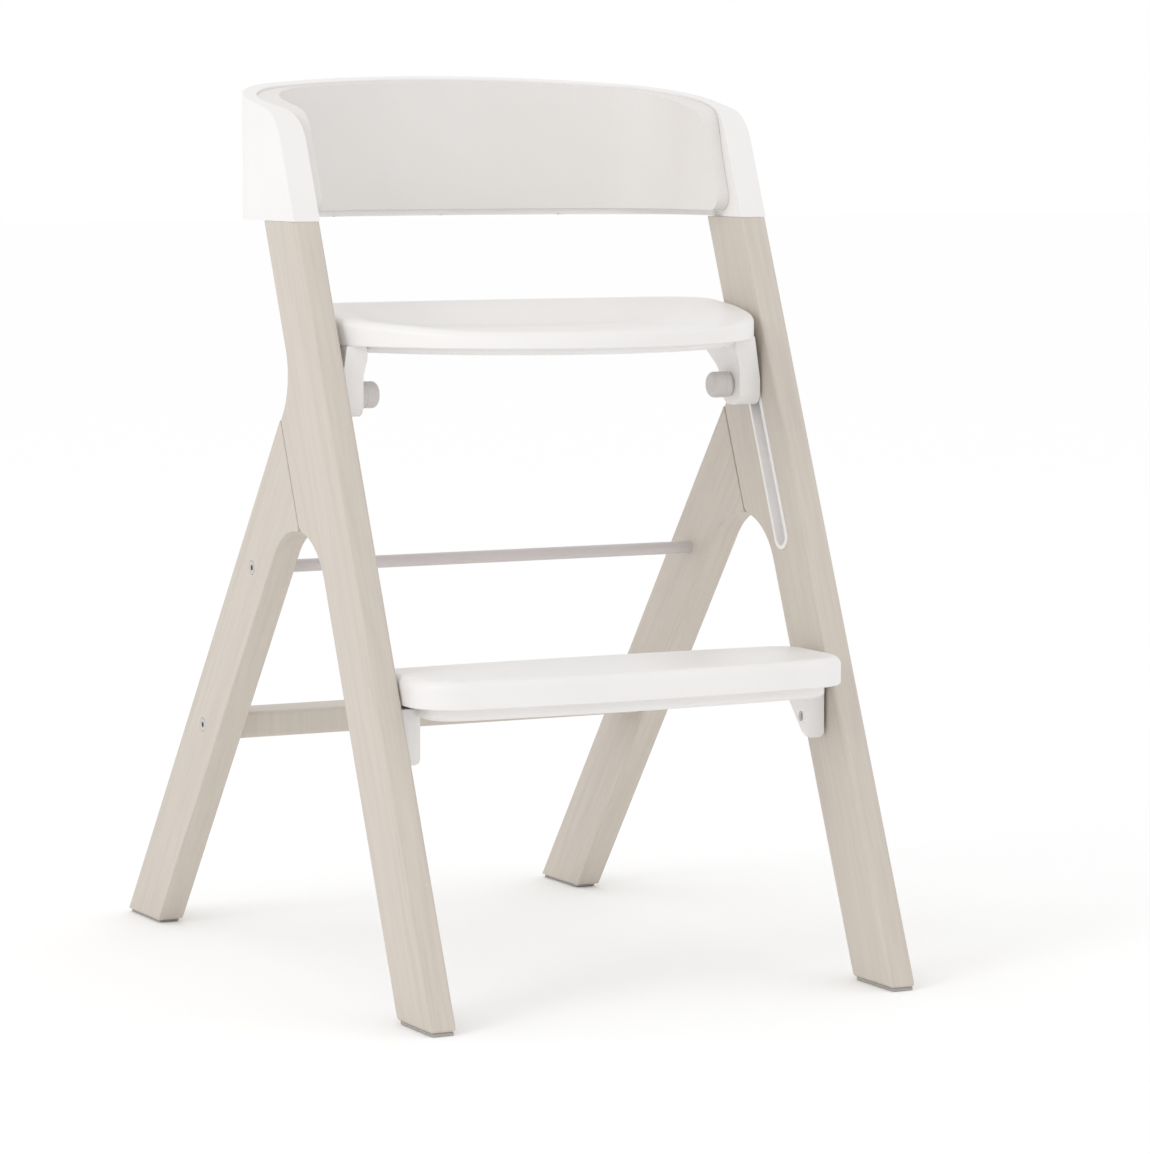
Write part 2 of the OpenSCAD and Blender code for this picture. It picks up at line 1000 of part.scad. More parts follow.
module seat_top_shell() {
    color(plastic)
        difference() {
            intersection() {
                translate([0, 0, seat_z])
                    linear_extrude(seat_top - seat_z)
                        seat_plan(0);
                union() {
                    rim_sweep(seat_front, seat_front_r, seat_z, 650, 1, 12);
                    translate([-plate_w, seat_front + seat_front_r - 1, seat_z])
                        cube([2 * plate_w, 200, 650 - seat_z]);
                }
                along_y()
                    end_view(seat_z, 640, 1, 12);
                across(-plate_w, plate_w)
                    difference() {
                        polygon(concat(rim_line, [[60, seat_z], [-300, seat_z]]));
                        corner_cut([seat_rear, seat_top - 0.5], 11, -1, -1);
                    }
            }
            seat_dish();
            difference() {
                translate([0, 0, seat_z - 1])
                    linear_extrude(6)
                        seat_plan(22);
                seat_bosses(seat_z, seat_z + 6);
            }
            seat_fix_screws(0.1);
            seat_cover_screw_set(0.1);
        }
}

// Hollow that the child sits in
module seat_dish() {
    intersection() {
        translate([0, 0, seat_z])
            linear_extrude(60)
                seat_plan(17);
        across(-plate_w, plate_w)
            polygon([
                [-226, 602], [-211, 599], [-180, 597.5], [-110, 596.5], [-40, 597],
                [-12, 599.5], [4, 605], [14, 625], [14, 660], [-226, 660]
            ]);
    }
}

module seat_bosses(z0, z1) {
    for (p = seat_cover_at)
        disc_z(9, z0, z1, p);
    for (x = [-60, 60])
        translate([x - 1.5, seat_front, z0])
            cube([3, seat_rear - seat_front, z1 - z0]);
    both_sides()
        translate([162, seat_front, z0])
            cube([80, seat_rear - seat_front, z1 - z0]);
}

module seat_under_cover() {
    color(plastic)
        difference() {
            translate([0, 0, seat_low])
                linear_extrude(seat_z - seat_low)
                    seat_plan(18);
            difference() {
                translate([0, 0, seat_low + 3])
                    linear_extrude(seat_z - seat_low)
                        seat_plan(21.5);
                for (p = seat_cover_at)
                    disc_z(9, seat_low, seat_z, p);
                both_sides()
                    translate([162, seat_front, seat_low])
                        cube([80, seat_rear - seat_front, seat_z]);
            }
            both_sides()
                seat_bracket_shape(fit);
            seat_fix_screws(0.1);
            seat_cover_screw_set(0.1);
        }
}

module seat_fix_screws(grow = 0) {
    both_sides()
        for (y = seat_fix_y)
            translate([seat_fix_x, y, seat_low - 5])
                rotate([180, 0, 0])
                    screw(3.5, 18, 7, 2, grow);
}

module seat_cover_screw_set(grow = 0) {
    for (p = seat_cover_at)
        translate([p.x, p.y, seat_low])
            rotate([180, 0, 0])
                screw(3, 14, 5.8, 1.5, grow);
}

pin_at = front_pt(slot_a, pin_b);

// Side view of the seat's bracket: a boss round the lock pin below a flared foot
module seat_bracket_view() {
    difference() {
        polygon([
            [-112, seat_z], [-112, 521], [-86, 521], [-74, 532], [-72, 551],
            [-52, 571], [-46, seat_low], [-46, seat_z]
        ]);
        fillet([-112, 521], [0, 1], [1, 0], 12);
        fillet([-86, 521], [-1, 0], unit([12, 11]), 10);
    }
}

module seat_bracket_shape(grow = 0) {
    intersection() {
        across(150, seat_bracket_out)
            seat_bracket_view();
        along_y()
            polygon([
                [seat_bracket_in, 500], [seat_bracket_out, 500], [seat_bracket_out, seat_z],
                [190 - grow, seat_z], [190 - grow, 573], [seat_bracket_in, 558]
            ]);
    }
}

module seat_bracket() {
    color(plastic)
        difference() {
            seat_bracket_shape();
            rod_x(bush_d, 180, 220, pin_at);
            slider_screw_set(0.1);
            for (y = seat_fix_y) {
                translate([seat_fix_x, y, seat_low - 5])
                    rotate([180, 0, 0])
                        screw(3.5, 18, 7, 2, 0.1);
                disc_z(7.4, 540, seat_low - 5, [seat_fix_x, y]);
            }
        }
}

module seat_bracket_screws() {
    color(steel)
        seat_fix_screws();
}

module seat_cover_screws() {
    color(steel)
        seat_cover_screw_set();
}

// ---- Sliders, index plungers and pull knobs ----
slider_low = pin_b - 13.7;
slider_high = pin_b + 35.2;
slider_w = channel_w - 2 * body_gap;
slider_end = lip_x + channel_depth - body_gap;
bush_d = 13;
bush_bore = 10.4;
bush_end = 213;
bush_wall = 2;
flange_in = seat_bracket_in - 2.3;
spring_seat = flange_in + bush_wall;
shoulder_x = 205;
shoulder_t = 3;
pull_travel = 6;
knob_len = 18.5;
knob_out = flange_in - body_gap;
knob_in = knob_out - knob_len;
slider_screw_b = [pin_b + 14, pin_b + 27];

module slider_screw_set(grow = 0) {
    for (b = slider_screw_b)
        on_front_leg()
            point_x(slider_end - 0.4, [slot_a, b], 1)
                screw(3, 22, 5.6, 1.4, grow);
}

module slider() {
    color(knob_tone)
        difference() {
            in_slot(seat_bracket_out, slider_end)
                slot_shape(slider_w, slider_low, slider_high);
            rod_x(pin_d + 0.1, 200, 240, pin_at);
            slider_screw_set(0.1);
        }
}

module slider_screws() {
    color(steel)
        both_sides()
            slider_screw_set();
}

module plunger_bush() {
    color(steel)
        difference() {
            union() {
                rod_x(bush_d, flange_in, bush_end, pin_at);
                rod_x(22, flange_in, seat_bracket_in, pin_at);
            }
            rod_x(pin_d + 0.1, flange_in - 1, bush_end + 1, pin_at);
            rod_x(bush_bore, spring_seat, bush_end + 1, pin_at);
        }
}

module pull_knob() {
    groove_at = 12.5;
    color(knob_tone)
        point_x(knob_in, pin_at)
            rotate_extrude()
                difference() {
                    square([knob_d / 2, knob_len]);
                    corner_cut([knob_d / 2, 0], 4.5, -1, 1);
                    corner_cut([knob_d / 2, knob_len], 1.5, -1, -1);
                    translate([knob_d / 2 - 0.8, groove_at])
                        square([3, 1]);
                    translate([-1, 7])
                        square([pin_d / 2 + 1, knob_len]);
                }
}

module lock_pin() {
    color(steel)
        union() {
            rod_x(pin_d, knob_in + 7, slider_end, pin_at);
            rod_x(bush_bore - 0.6, shoulder_x, shoulder_x + shoulder_t, pin_at);
        }
}

// Return spring, drawn as separate rings between the bush's end wall and the pin's shoulder
module lock_spring() {
    wire = 0.8;
    coils = 5;
    free = shoulder_x - spring_seat;
    color(steel)
        point_x(spring_seat, pin_at)
            for (i = [0:coils - 1])
                translate([0, 0, wire / 2 + i * (free - wire) / (coils - 1)])
                    rotate_extrude()
                        translate([pin_d / 2 + 1, 0])
                            circle(d = wire, $fn = 12);
}

mirrored() front_leg();  // front_leg_left
front_leg();  // front_leg_right
mirrored() slot_liner();  // slot_liner_left
slot_liner();  // slot_liner_right
liner_screws();
backrest_shell();
backrest_inner_panel();
backrest_screws();
panel_screws();
footrest_top_shell();
footrest_under_cover();
mirrored() footrest_bracket();  // footrest_bracket_left
footrest_bracket();  // footrest_bracket_right
footrest_leg_screws();
footrest_bracket_screws();
footrest_cover_screws();
mirrored() front_foot_pad();  // front_foot_pad_left
front_foot_pad();  // front_foot_pad_right
mirrored() front_hinge_leaf();  // front_hinge_leaf_left
front_hinge_leaf();  // front_hinge_leaf_right
hinge_pins();
front_hinge_screws();
mirrored() rear_leg();  // rear_leg_left
rear_leg();  // rear_leg_right
rear_rod();
rod_inserts();
rod_bolts();
rear_crossbar();
crossbar_bolts();
crossbar_barrel_nuts();
crossbar_dowels();
mirrored() rear_foot_pad();  // rear_foot_pad_left
rear_foot_pad();  // rear_foot_pad_right
mirrored() rear_hinge_leaf();  // rear_hinge_leaf_left
rear_hinge_leaf();  // rear_hinge_leaf_right
rear_hinge_screws();
seat_top_shell();
seat_under_cover();
mirrored() seat_bracket();  // seat_bracket_left
seat_bracket();  // seat_bracket_right
seat_bracket_screws();
seat_cover_screws();
mirrored() slider();  // slider_left
slider();  // slider_right
slider_screws();
mirrored() plunger_bush();  // plunger_bush_left
plunger_bush();  // plunger_bush_right
mirrored() pull_knob();  // pull_knob_left
pull_knob();  // pull_knob_right
mirrored() lock_pin();  // lock_pin_left
lock_pin();  // lock_pin_right
mirrored() lock_spring();  // lock_spring_left
lock_spring();  // lock_spring_right
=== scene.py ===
"""Looks of a folding, height-adjustable child's chair: A-shaped stained wooden sides, white
moulded seat, footrest and backrest. Metres, +Z up, the chair's front faces -Y."""

import json
import math

import bmesh
import bpy
from mathutils import Matrix, Vector


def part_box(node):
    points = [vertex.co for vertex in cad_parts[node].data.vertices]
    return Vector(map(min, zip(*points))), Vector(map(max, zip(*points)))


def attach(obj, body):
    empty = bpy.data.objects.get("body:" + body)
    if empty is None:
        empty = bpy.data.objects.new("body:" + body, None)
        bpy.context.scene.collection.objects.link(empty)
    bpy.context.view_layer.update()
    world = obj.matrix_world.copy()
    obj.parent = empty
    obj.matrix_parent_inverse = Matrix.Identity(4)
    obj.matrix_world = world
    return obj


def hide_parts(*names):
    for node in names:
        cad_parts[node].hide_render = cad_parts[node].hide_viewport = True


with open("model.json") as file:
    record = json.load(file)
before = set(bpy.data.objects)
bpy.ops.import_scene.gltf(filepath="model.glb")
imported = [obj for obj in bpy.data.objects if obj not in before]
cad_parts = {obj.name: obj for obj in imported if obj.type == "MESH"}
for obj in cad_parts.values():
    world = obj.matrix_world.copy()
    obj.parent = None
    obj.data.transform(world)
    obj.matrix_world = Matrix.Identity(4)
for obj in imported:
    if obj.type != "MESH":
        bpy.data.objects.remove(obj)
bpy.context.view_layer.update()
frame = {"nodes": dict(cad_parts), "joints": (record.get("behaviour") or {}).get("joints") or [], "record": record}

# ---- Camera, at the photograph's viewing angle ----
camera = bpy.data.objects.new("camera", bpy.data.cameras.new("camera"))
bpy.context.scene.collection.objects.link(camera)
LOOK_DOWN, LOOK_ROUND = 5.70, -26.77
camera.location = (-1.8805, -3.8795, 0.7874)
camera.rotation_euler = (math.radians(90 - LOOK_DOWN), 0, math.radians(LOOK_ROUND))
camera.data.sensor_width = 36
camera.data.lens = 142.4
bpy.context.scene.camera = camera

# ---- Sizes, read from the frame where it has them ----
leg_low, leg_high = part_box("front_leg_right")
LEG_IN, LEG_OUT = leg_low.x, leg_high.x
HALF_D = -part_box("front_foot_pad_right")[0].y
PAD_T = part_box("front_foot_pad_right")[1].z
FRONT_LEAN, REAR_LEAN = math.radians(22.5), math.radians(37.5)
FRONT_DEPTH, REAR_DEPTH = 0.066, 0.064
SEAM_A, SEAM_GAP = 0.102, 0.0003
WAIST_R, ARCH_R = 0.060, 0.066
EDGE_R = 0.0035
BACK_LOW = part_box("backrest_shell")[0].z
BACK_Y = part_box("backrest_shell")[1].y
WING_RC, BACK_R = 0.090, 0.500
BACK_TOP, BACK_RISE = 0.801, 0.2
PLATE_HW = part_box("seat_top_shell")[1].x

FRONT_UP = Vector((math.sin(FRONT_LEAN), math.cos(FRONT_LEAN)))
REAR_UP = Vector((-math.sin(REAR_LEAN), math.cos(REAR_LEAN)))


def front_pt(a, b):
    """Point in the side view, a behind the front leg's front edge and b up along it."""
    return Vector((-HALF_D, 0)) + a * Vector((FRONT_UP.y, -FRONT_UP.x)) + b * FRONT_UP


def rear_pt(a, b):
    """Point in the side view, a in front of the rear leg's rear edge and b up along it."""
    return Vector((HALF_D, 0)) - a * Vector((REAR_UP.y, -REAR_UP.x)) + b * REAR_UP


def cross(u, v):
    return u.x * v.y - u.y * v.x


def meet(p, u, q, v):
    return p + u * (cross(q - p, v) / cross(u, v))


def arc(centre, r, a0, a1, steps):
    """Points of an arc, angles in degrees."""
    angles = [math.radians(a0 + (a1 - a0) * i / steps) for i in range(steps + 1)]
    return [Vector((centre[0] + r * math.cos(t), centre[1] + r * math.sin(t))) for t in angles]


def circle(centre, r, sides=48):
    return arc(centre, r, 0, 360 - 360 / sides, sides - 1)


def quarter_turn(steps):
    """Pairs (1 - cos, 1 - sin) over a quarter turn, used to round a rim."""
    angles = [math.radians(90 * i / steps) for i in range(steps + 1)]
    return [(1 - math.cos(t), 1 - math.sin(t)) for t in angles]


def fillet(corner, d1, d2, r, steps=16):
    """Arc that rounds the corner between directions d1 and d2, from d1's side to d2's."""
    half = math.acos(max(-1, min(1, d1.normalized().dot(d2.normalized())))) / 2
    mid = corner + (d1.normalized() + d2.normalized()).normalized() * r / math.sin(half)
    start = corner + d1.normalized() * r / math.tan(half) - mid
    end = corner + d2.normalized() * r / math.tan(half) - mid
    turn = math.atan2(cross(start, end), start.dot(end))
    first = math.atan2(start.y, start.x)
    return arc(mid, r, math.degrees(first), math.degrees(first + turn), steps)


def rounded(points, radii, steps=8):
    """Closed outline whose corners are rounded by the radii given (0 leaves one sharp)."""
    out = []
    for i, p in enumerate(points):
        p = Vector(p)
        before, after = Vector(points[i - 1]), Vector(points[(i + 1) % len(points)])
        if radii[i]:
            out += fillet(p, before - p, after - p, radii[i], steps)
        else:
            out.append(p)
    return out


# ---- Mesh tools ----
def add_mesh(name, verts, faces):
    data = bpy.data.meshes.new(name)
    data.from_pydata([tuple(v) for v in verts], [], faces)
    data.update()
    obj = bpy.data.objects.new(name, data)
    bpy.context.scene.collection.objects.link(obj)
    return obj


def tidy_normals(obj):
    work = bmesh.new()
    work.from_mesh(obj.data)
    bmesh.ops.remove_doubles(work, verts=work.verts, dist=1e-6)
    bmesh.ops.recalc_face_normals(work, faces=work.faces)
    work.to_mesh(obj.data)
    work.free()


def prism(name, outline, low, high, axis="x"):
    """Solid made by pushing a 2-D outline along an axis. Outline is [y, z] for x, [x, z] for y
    and [x, y] for z."""
    place = {
        "x": lambda p, t: (t, p[0], p[1]),
        "y": lambda p, t: (p[0], t, p[1]),
        "z": lambda p, t: (p[0], p[1], t),
    }[axis]
    n = len(outline)
    verts = [place(p, low) for p in outline] + [place(p, high) for p in outline]
    faces = [list(range(n)), list(range(2 * n - 1, n - 1, -1))]
    faces += [[i, (i + 1) % n, n + (i + 1) % n, n + i] for i in range(n)]
    obj = add_mesh(name, verts, faces)
    tidy_normals(obj)
    return obj


def baked(obj):
    """Replaces an object's mesh by the result of its modifiers."""
    graph = bpy.context.evaluated_depsgraph_get()
    data = bpy.data.meshes.new_from_object(obj.evaluated_get(graph), depsgraph=graph)
    obj.modifiers.clear()
    obj.data = data
    return obj


def combine(obj, other, operation):
    modifier = obj.modifiers.new("combine", "BOOLEAN")
    modifier.operation, modifier.object, modifier.solver = operation, other, "EXACT"
    baked(obj)
    bpy.data.objects.remove(other)
    return obj


def cut(obj, other):
    return combine(obj, other, "DIFFERENCE")


def overlap(obj, other):
    return combine(obj, other, "INTERSECT")


def soften(obj, width, segments=3, angle=30):
    """Rounds every edge sharper than the angle."""
    work = bmesh.new()
    work.from_mesh(obj.data)
    bmesh.ops.remove_doubles(work, verts=work.verts, dist=1e-6)
    bmesh.ops.dissolve_limit(
        work, angle_limit=math.radians(0.3), verts=work.verts, edges=work.edges
    )
    work.to_mesh(obj.data)
    work.free()
    modifier = obj.modifiers.new("soften", "BEVEL")
    modifier.width, modifier.segments = width, segments
    modifier.limit_method, modifier.angle_limit = "ANGLE", math.radians(angle)
    modifier.use_clamp_overlap = True
    modifier.miter_outer = "MITER_ARC"
    return baked(obj)


def shade(obj, angle=35):
    for face in obj.data.polygons:
        face.use_smooth = True
    obj.data.set_sharp_from_angle(angle=math.radians(angle))
    modifier = obj.modifiers.new("normals", "WEIGHTED_NORMAL")
    modifier.keep_sharp = True
    return baked(obj)


def finish_piece(obj, body, material, *replaced, angle=35, slot=None):
    shade(obj, angle)
    obj.data.materials.clear()
    obj.data.materials.append(material)
    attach(obj, body)
    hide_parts(*replaced)
    return obj


def mirrored(obj, name):
    """Copy of an object mirrored about X = 0."""
    copy = obj.copy()
    copy.data = obj.data.copy()
    copy.name = name
    bpy.context.scene.collection.objects.link(copy)
    copy.data.transform(Matrix.Scale(-1, 4, (1, 0, 0)))
    copy.data.flip_normals()
    return copy


def pair(build, name, body, material, node, **options):
    """Builds a right-hand piece and its mirror image, and gives them to their nodes."""
    right = build(name + "_right_visual")
    left = mirrored(right, name + "_left_visual")
    bodies = body if isinstance(body, tuple) else (body, body)
    finish_piece(right, bodies[1], material, node + "_right", **options)
    finish_piece(left, bodies[0], material, node + "_left", **options)
    return left, right


# ---- Materials ----
def new_material(name, roughness, metallic=0.0, coat=0.0):
    material = bpy.data.materials.new(name)
    material.use_nodes = True
    shader = material.node_tree.nodes["Principled BSDF"]
    shader.inputs["Roughness"].default_value = roughness
    shader.inputs["Metallic"].default_value = metallic
    shader.inputs["Coat Weight"].default_value = coat
    shader.inputs["Coat Roughness"].default_value = 0.3
    return material, material.node_tree, shader


def noise(tree, scale, detail=4.0, roughness=0.5, vector=None, distortion=0.0):
    node = tree.nodes.new("ShaderNodeTexNoise")
    node.inputs["Scale"].default_value = scale
    node.inputs["Detail"].default_value = detail
    node.inputs["Roughness"].default_value = roughness
    node.inputs["Distortion"].default_value = distortion
    if vector:
        tree.links.new(vector, node.inputs["Vector"])
    return node.outputs["Fac"]


def ramp(tree, value, stops):
    node = tree.nodes.new("ShaderNodeValToRGB")
    ends = node.color_ramp.elements
    ends[0].position, ends[0].color = stops[0][0], (*stops[0][1], 1)
    ends[1].position, ends[1].color = stops[-1][0], (*stops[-1][1], 1)
    for position, colour in stops[1:-1]:
        ends.new(position).color = (*colour, 1)
    tree.links.new(value, node.inputs["Fac"])
    return node.outputs["Color"]


def spread(tree, value, low, high):
    node = tree.nodes.new("ShaderNodeMapRange")
    node.inputs["To Min"].default_value, node.inputs["To Max"].default_value = low, high
    tree.links.new(value, node.inputs["Value"])
    return node.outputs["Result"]


def add_bump(tree, shader, height, strength, distance):
    node = tree.nodes.new("ShaderNodeBump")
    node.inputs["Strength"].default_value = strength
    node.inputs["Distance"].default_value = distance
    tree.links.new(height, node.inputs["Height"])
    tree.links.new(node.outputs["Normal"], shader.inputs["Normal"])


def stained_wood(name, lean, tone):
    """Stained hardwood with its grain along a board that leans by the angle given."""
    material, tree, shader = new_material(name, 0.5, coat=0.08)
    place = tree.nodes.new("ShaderNodeTexCoord").outputs["Object"]
    turned = tree.nodes.new("ShaderNodeMapping")
    turned.inputs["Rotation"].default_value = (lean, 0, 0)
    tree.links.new(place, turned.inputs["Vector"])
    stretched = tree.nodes.new("ShaderNodeMapping")
    stretched.inputs["Scale"].default_value = (1.0, 1.0, 0.045)
    tree.links.new(turned.outputs["Vector"], stretched.inputs["Vector"])
    grain = noise(tree, 240, 5, 0.6, stretched.outputs["Vector"], 0.15)
    bands = noise(tree, 34, 3, 0.5, stretched.outputs["Vector"], 0.6)
    pores = noise(tree, 900, 2, 0.5, stretched.outputs["Vector"])
    dark, mid, light = [tuple(c * k for c in tone) for k in (0.93, 1.0, 1.04)]
    fine = ramp(tree, grain, [(0.30, dark), (0.52, mid), (0.72, light)])
    broad = ramp(tree, bands, [(0.35, (0.965, 0.96, 0.955)), (0.65, (1, 1, 1))])
    mix = tree.nodes.new("ShaderNodeMix")
    mix.data_type, mix.blend_type = "RGBA", "MULTIPLY"
    mix.inputs["Factor"].default_value = 1.0
    tree.links.new(fine, mix.inputs["A"])
    tree.links.new(broad, mix.inputs["B"])
    tree.links.new(mix.outputs["Result"], shader.inputs["Base Color"])
    tree.links.new(spread(tree, grain, 0.42, 0.60), shader.inputs["Roughness"])
    add_bump(tree, shader, pores, 0.15, 0.0004)
    return material


def moulded(name, colour, roughness, bump=0.05, coat=0.0):
    """Moulded plastic or rubber: very fine mottling, and a faint uneven skin."""
    material, tree, shader = new_material(name, roughness, coat=coat)
    place = tree.nodes.new("ShaderNodeTexCoord").outputs["Object"]
    fine = noise(tree, 2600, 3, 0.6, place)
    broad = noise(tree, 9, 2, 0.5, place)
    low, high = [tuple(min(1, c * k) for c in colour) for k in (0.985, 1.01)]
    tree.links.new(ramp(tree, broad, [(0.35, low), (0.65, high)]), shader.inputs["Base Color"])
    rough = spread(tree, broad, roughness - 0.04, roughness + 0.05)
    tree.links.new(rough, shader.inputs["Roughness"])
    add_bump(tree, shader, fine, bump, 0.0002)
    return material


def plated(name, colour, roughness):
    """Zinc-plated or brushed steel."""
    material, tree, shader = new_material(name, roughness, metallic=1.0)
    place = tree.nodes.new("ShaderNodeTexCoord").outputs["Object"]
    fine = noise(tree, 1500, 4, 0.6, place)
    broad = noise(tree, 90, 2, 0.5, place)
    low, high = [tuple(c * k for c in colour) for k in (0.88, 1.05)]
    tree.links.new(ramp(tree, broad, [(0.3, low), (0.7, high)]), shader.inputs["Base Color"])
    rough = spread(tree, fine, roughness - 0.07, roughness + 0.09)
    tree.links.new(rough, shader.inputs["Roughness"])
    add_bump(tree, shader, fine, 0.06, 0.0002)
    return material


WOOD_TONE = (0.590, 0.535, 0.470)
front_wood = stained_wood("front_leg_wood", FRONT_LEAN, WOOD_TONE)
rear_wood = stained_wood("rear_leg_wood", -REAR_LEAN, WOOD_TONE)
bar_wood = stained_wood("crossbar_wood", 0, WOOD_TONE)
white = moulded("white_plastic", (0.830, 0.812, 0.800), 0.42, 0.05, 0.1)
# Darker, warmer copy of the white plastic: painted shade for the backrest's inner face.
shaded_panel_white = moulded("panel_plastic_painted_shade", (0.760, 0.735, 0.715), 0.50, 0.05)
knob_tone = moulded("knob_plastic", (0.60, 0.57, 0.555), 0.45, 0.05)
rod_paint = moulded("rod_paint", (0.60, 0.555, 0.545), 0.35, 0.10, 0.2)
rubber = moulded("pad_rubber", (0.40, 0.38, 0.36), 0.75, 0.25)
steel = plated("zinc_steel", (0.62, 0.61, 0.60), 0.32)

wood_by_node = {"rear_crossbar": bar_wood, "crossbar_dowels": bar_wood}
by_slot = {
    "wood_front": front_wood,
    "wood_rear": rear_wood,
    "white_plastic": white,
    "knob_plastic": knob_tone,
    "painted_rod": rod_paint,
    "pad_rubber": rubber,
    "steel": steel,
}
for part in frame["record"]["subparts"]:
    node = frame["nodes"][part["node"]]
    node.data.materials.clear()
    node.data.materials.append(
        wood_by_node.get(part["node"], by_slot[part["material_slot"]])
    )

# ---- Leg boards ----
arch_corner = meet(front_pt(FRONT_DEPTH, 0), FRONT_UP, rear_pt(REAR_DEPTH, 0), REAR_UP)
waist_corner = meet(front_pt(FRONT_DEPTH, 0), FRONT_UP, rear_pt(0, 0), REAR_UP)
waist_arc = fillet(waist_corner, FRONT_UP, -REAR_UP, WAIST_R, 60)
arch_arc = fillet(arch_corner, -FRONT_UP, -REAR_UP, ARCH_R, 80)
PIVOT = Vector([frame["joints"][0]["pos_m"][i] for i in (1, 2)])
pivot_b = (PIVOT - Vector((-HALF_D, 0))).dot(FRONT_UP)
RELIEF = math.radians(35)
HEAD_DEPTH = 0.0046


def along_leg(p):
    """A side-view point's (a, b) in the front leg's own frame."""
    d = p - Vector((-HALF_D, 0))
    return d.dot(Vector((FRONT_UP.y, -FRONT_UP.x))), d.dot(FRONT_UP)


def relief_points(side):
    """Seam line's end above the hinge and the point where the V relief leaves the arch."""
    mid = arch_corner + (-FRONT_UP - REAR_UP).normalized() * ARCH_R / math.sin(math.radians(30))
    apex = front_pt(SEAM_A + side * SEAM_GAP / 2, pivot_b + 0.0006)
    step = front_pt(side * math.sin(RELIEF), -math.cos(RELIEF)) - front_pt(0, 0)
    reach = 0
    while (apex + step * reach - mid).length > ARCH_R and reach < 0.02:
        reach += 0.00002
    return apex, apex + step * reach


def slab(low, high):
    """Wide block between two heights."""
    x, y = 0.4, 0.5
    return prism("cutter", [(-x, -y), (x, -y), (x, y), (-x, y)], low, high, "z")


def front_leg(name):
    edge = SEAM_A - SEAM_GAP / 2
    apex, lip = relief_points(-1)
    lip_a = along_leg(lip)[0]
    arch = [p for p in arch_arc if along_leg(p)[0] < lip_a - 0.0005]
    top = BACK_LOW + 0.012
    outline = [
        front_pt(0, PAD_T / FRONT_UP.y),
        front_pt(0, top / FRONT_UP.y),
        meet(front_pt(FRONT_DEPTH, 0), FRONT_UP, Vector((0, top)), Vector((1, 0))),
        *waist_arc,
        meet(rear_pt(0, 0), REAR_UP, front_pt(edge, 0), FRONT_UP),
        apex,
        lip,
        *reversed(arch),
        meet(front_pt(FRONT_DEPTH, 0), FRONT_UP, Vector((0, PAD_T)), Vector((1, 0))),
    ]
    obj = soften(prism(name, outline, LEG_IN, LEG_OUT), EDGE_R, 4)
    cut(obj, slab(BACK_LOW - 0.0002, BACK_LOW + 0.1))
    return cut(obj, slot_prism("cutter", SLOT_W, LEG_IN - 0.002, LEG_IN + SLOT_DEPTH))


def rear_leg(name):
    edge = SEAM_A + SEAM_GAP / 2
    apex, lip = relief_points(1)
    lip_a = along_leg(lip)[0]
    arch = [p for p in arch_arc if along_leg(p)[0] > lip_a + 0.0005]
    outline = [
        meet(rear_pt(0, 0), REAR_UP, Vector((0, PAD_T)), Vector((1, 0))),
        meet(rear_pt(0, 0), REAR_UP, front_pt(edge, 0), FRONT_UP),
        apex,
        lip,
        *arch,
        meet(rear_pt(REAR_DEPTH, 0), REAR_UP, Vector((0, PAD_T)), Vector((1, 0))),
    ]
    obj = soften(prism(name, outline, LEG_IN, LEG_OUT), EDGE_R, 4)
    for bolts in ("rod_bolts", "crossbar_bolts"):
        low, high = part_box(bolts)
        at = ((low.y + high.y) / 2, (low.z + high.z) / 2)
        hole = circle(at, (high.y - low.y) / 2 + 0.0004)
        cut(obj, prism("cutter", hole, LEG_OUT - HEAD_DEPTH, LEG_OUT + 0.01))
    return obj


# ---- Slot liners ----
SLOT_A = 0.041
liner_low, liner_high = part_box("slot_liner_right")
SLOT_W, CHANNEL_W, NOTCH_R = 0.025, 0.017, 0.0036
SLOT_DEPTH, CHANNEL_DEPTH = 0.0107, 0.009
pin_low, pin_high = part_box("lock_pin_right")
PIN = Vector(((pin_low.y + pin_high.y) / 2, (pin_low.z + pin_high.z) / 2))
pin_b = along_leg(PIN)[1]
STEP_PITCH, SETTINGS = 0.049, 4
LINER_B = (pin_b - (SETTINGS - 1) * STEP_PITCH - 0.018, pin_b + 0.0395)


def stadium(width, b0, b1, steps=20):
    """Slot outline with round ends on the front leg, in the side view."""
    low, high = front_pt(SLOT_A, b0 + width / 2), front_pt(SLOT_A, b1 - width / 2)
    tilt = -math.degrees(FRONT_LEAN)
    return arc(low, width / 2, 180 + tilt, 360 + tilt, steps) + arc(
        high, width / 2, tilt, 180 + tilt, steps
    )


def slot_prism(name, width, x0, x1):
    inset = (SLOT_W - width) / 2
    return prism(name, stadium(width, LINER_B[0] + inset, LINER_B[1] - inset), x0, x1)


def slot_liner(name):
    obj = slot_prism(name, SLOT_W - 0.0002, liner_low.x, liner_high.x)
    soften(obj, 0.0006, 2)
    cut(obj, slot_prism("cutter", CHANNEL_W, liner_low.x - 0.002, liner_low.x + CHANNEL_DEPTH))
    for i in range(SETTINGS):
        at = front_pt(SLOT_A, pin_b - i * STEP_PITCH)
        cut(obj, prism("cutter", circle(at, NOTCH_R, 24), LEG_IN, LEG_IN + 0.02))
    return obj


